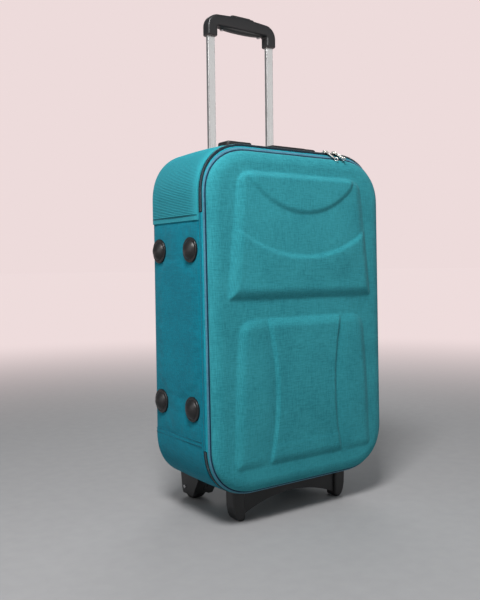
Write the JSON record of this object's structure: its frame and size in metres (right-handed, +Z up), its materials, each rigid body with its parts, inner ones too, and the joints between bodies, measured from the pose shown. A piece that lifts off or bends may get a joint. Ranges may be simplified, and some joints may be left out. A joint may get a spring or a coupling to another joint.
{
  "type": "softside upright suitcase",
  "caption": "Soft-sided upright suitcase with a moulded front lid hinged at the left, a zip, a telescopic handle, rear wheels and front feet.",
  "frame": {"origin": "on the floor, midway between the side feet's and side handle's outermost points and midway between the lid's front and the wheels' back", "axes": "+X to the viewer's right across the front, +Y towards the back with the wheels and the telescopic handle, +Z up"},
  "size_m": [0.404, 0.234, 0.892],
  "materials": {
    "front_fabric": "moulded EVA board with woven teal polyester, matte",
    "ribbed_fabric": "horizontally ribbed teal polyester",
    "side_fabric": "plain woven teal polyester",
    "hinge_fabric": "folded bright teal binding",
    "back_fabric": "plain woven teal polyester over board",
    "piping": "blue piping over cord",
    "zip_tape": "dark woven zip tape with nylon coil",
    "lining": "thin grey lining cloth",
    "webbing": "black ribbed webbing",
    "stiffener": "hidden board and rim strip",
    "black_plastic": "moulded black plastic, fine grain",
    "gloss_black": "moulded black plastic, glossy",
    "grey_plastic": "grey moulded insert",
    "tyre_rubber": "hard black wheel rubber",
    "hub_plastic": "dark grey moulded hub",
    "pole_metal": "drawn tube, satin",
    "zip_metal": "die-cast, plated bright",
    "dial_metal": "plated dial",
    "steel": "plated steel fastener"
  },
  "bodies": {
    "case": {"upper_gusset": "ribbed_fabric", "lower_gusset": "side_fabric", "side_panel_left": "side_fabric", "side_panel_right": "side_fabric", "back_panel": "back_fabric", "front_rim_strip": "stiffener", "back_rim_strip": "stiffener", "base_board": "stiffener", "body_lining": "lining", "packing_straps": "webbing", "clip_socket": "black_plastic", "clip_plug": "black_plastic", "side_feet": "gloss_black", "side_foot_screws": "steel", "body_zip_tape": "zip_tape", "hinge_binding": "hinge_fabric", "lock_body": "gloss_black", "top_handle_brackets": "black_plastic", "side_handle_brackets": "black_plastic", "outer_tube_left": "pole_metal", "outer_tube_right": "pole_metal", "tube_bezel": "black_plastic", "tube_foot_bracket": "black_plastic", "wheel_housing_left": "black_plastic", "wheel_housing_right": "black_plastic", "wheel_axles": "steel", "front_foot_bar": "black_plastic", "underside_screws": "steel"},
    "lid": {"lid_shell": "front_fabric", "lid_band": "zip_tape", "lid_piping": "piping", "lid_rim_strip": "stiffener", "lid_lining": "lining", "lid_pocket": "lining"},
    "trolley": {"inner_tube_left": "pole_metal", "inner_tube_right": "pole_metal", "tube_plugs": "black_plastic", "grip_shell": "black_plastic", "grip_insert": "grey_plastic", "grip_screws": "steel", "button_spring": "steel"},
    "button": {"push_button": "black_plastic", "rod_yoke": "steel", "push_rods": "steel"},
    "pin_left": {"lock_pin_left": "steel"},
    "pin_right": {"lock_pin_right": "steel"},
    "slider_1": {"zip_slider_1": "zip_metal"},
    "slider_2": {"zip_slider_2": "zip_metal"},
    "pull_1": {"zip_pull_1": "zip_metal"},
    "pull_2": {"zip_pull_2": "zip_metal"},
    "dial_1": {"lock_dial_1": "dial_metal"},
    "dial_2": {"lock_dial_2": "dial_metal"},
    "dial_3": {"lock_dial_3": "dial_metal"},
    "lock_slide": {"lock_slide": "gloss_black"},
    "top_grip": {"top_handle_grip": "black_plastic"},
    "side_grip": {"side_handle_grip": "black_plastic"},
    "wheel_left": {"wheel_tyre_left": "tyre_rubber", "wheel_hub_left": "hub_plastic"},
    "wheel_right": {"wheel_tyre_right": "tyre_rubber", "wheel_hub_right": "hub_plastic"}
  },
  "joints": [
    {"name": "lid_open", "type": "hinge", "parent": "case", "child": "lid", "pos_m": [-0.1926, -0.077, 0.339], "axis": [0, 0, -1], "range_deg": [0, 150]},
    {"name": "handle_slide", "type": "slide", "parent": "case", "child": "trolley", "axis": [0, 0, 1], "range_m": [-0.213, 0.12]},
    {"name": "button_press", "type": "slide", "parent": "trolley", "child": "button", "axis": [0, 0, -1], "range_m": [0, 0.003], "stiffness_N_per_m": 600, "springref_m": -0.004, "deforming": ["button_spring"]},
    {"name": "lock_pin_left_draw", "type": "slide", "parent": "trolley", "child": "pin_left", "axis": [1, 0, 0], "range_m": [0, 0.003]},
    {"name": "lock_pin_right_draw", "type": "slide", "parent": "trolley", "child": "pin_right", "axis": [-1, 0, 0], "range_m": [0, 0.003]},
    {"name": "zip_slider_1_slide", "type": "slide", "parent": "case", "child": "slider_1", "axis": [1, 0, 0], "range_m": [-0.15, 0]},
    {"name": "zip_slider_2_slide", "type": "slide", "parent": "case", "child": "slider_2", "axis": [1, 0, 0], "range_m": [0, 0.006]},
    {"name": "zip_pull_1_flip", "type": "hinge", "parent": "slider_1", "child": "pull_1", "pos_m": [0.074, -0.0765, 0.6304], "axis": [-1, 0, 0], "range_deg": [0, 165]},
    {"name": "zip_pull_2_flip", "type": "hinge", "parent": "slider_2", "child": "pull_2", "pos_m": [0.095, -0.0765, 0.6304], "axis": [-1, 0, 0], "range_deg": [0, 165]},
    {"name": "lock_dial_1_turn", "type": "hinge", "parent": "case", "child": "dial_1", "pos_m": [-0.012, -0.055, 0.629], "axis": [1, 0, 0], "continuous": true},
    {"name": "lock_dial_2_turn", "type": "hinge", "parent": "case", "child": "dial_2", "pos_m": [-0.003, -0.055, 0.629], "axis": [1, 0, 0], "continuous": true},
    {"name": "lock_dial_3_turn", "type": "hinge", "parent": "case", "child": "dial_3", "pos_m": [0.006, -0.055, 0.629], "axis": [1, 0, 0], "continuous": true},
    {"name": "lock_slide_push", "type": "slide", "parent": "case", "child": "lock_slide", "axis": [1, 0, 0], "range_m": [0, 0.004], "stiffness_N_per_m": 200, "springref_m": -0.002},
    {"name": "top_handle_lift", "type": "slide", "parent": "case", "child": "top_grip", "axis": [0, 0, 1], "range_m": [0, 0.0045]},
    {"name": "side_handle_lift", "type": "slide", "parent": "case", "child": "side_grip", "axis": [1, 0, 0], "range_m": [0, 0.004]},
    {"name": "wheel_left_spin", "type": "hinge", "parent": "case", "child": "wheel_left", "pos_m": [-0.103, 0.093, 0.024], "axis": [1, 0, 0], "continuous": true},
    {"name": "wheel_right_spin", "type": "hinge", "parent": "case", "child": "wheel_right", "pos_m": [0.103, 0.093, 0.024], "axis": [1, 0, 0], "continuous": true}
  ],
  "couplings": [
    {"joint": "lock_pin_left_draw", "follows": "button_press", "ratio": 1},
    {"joint": "lock_pin_right_draw", "follows": "button_press", "ratio": 1}
  ]
}
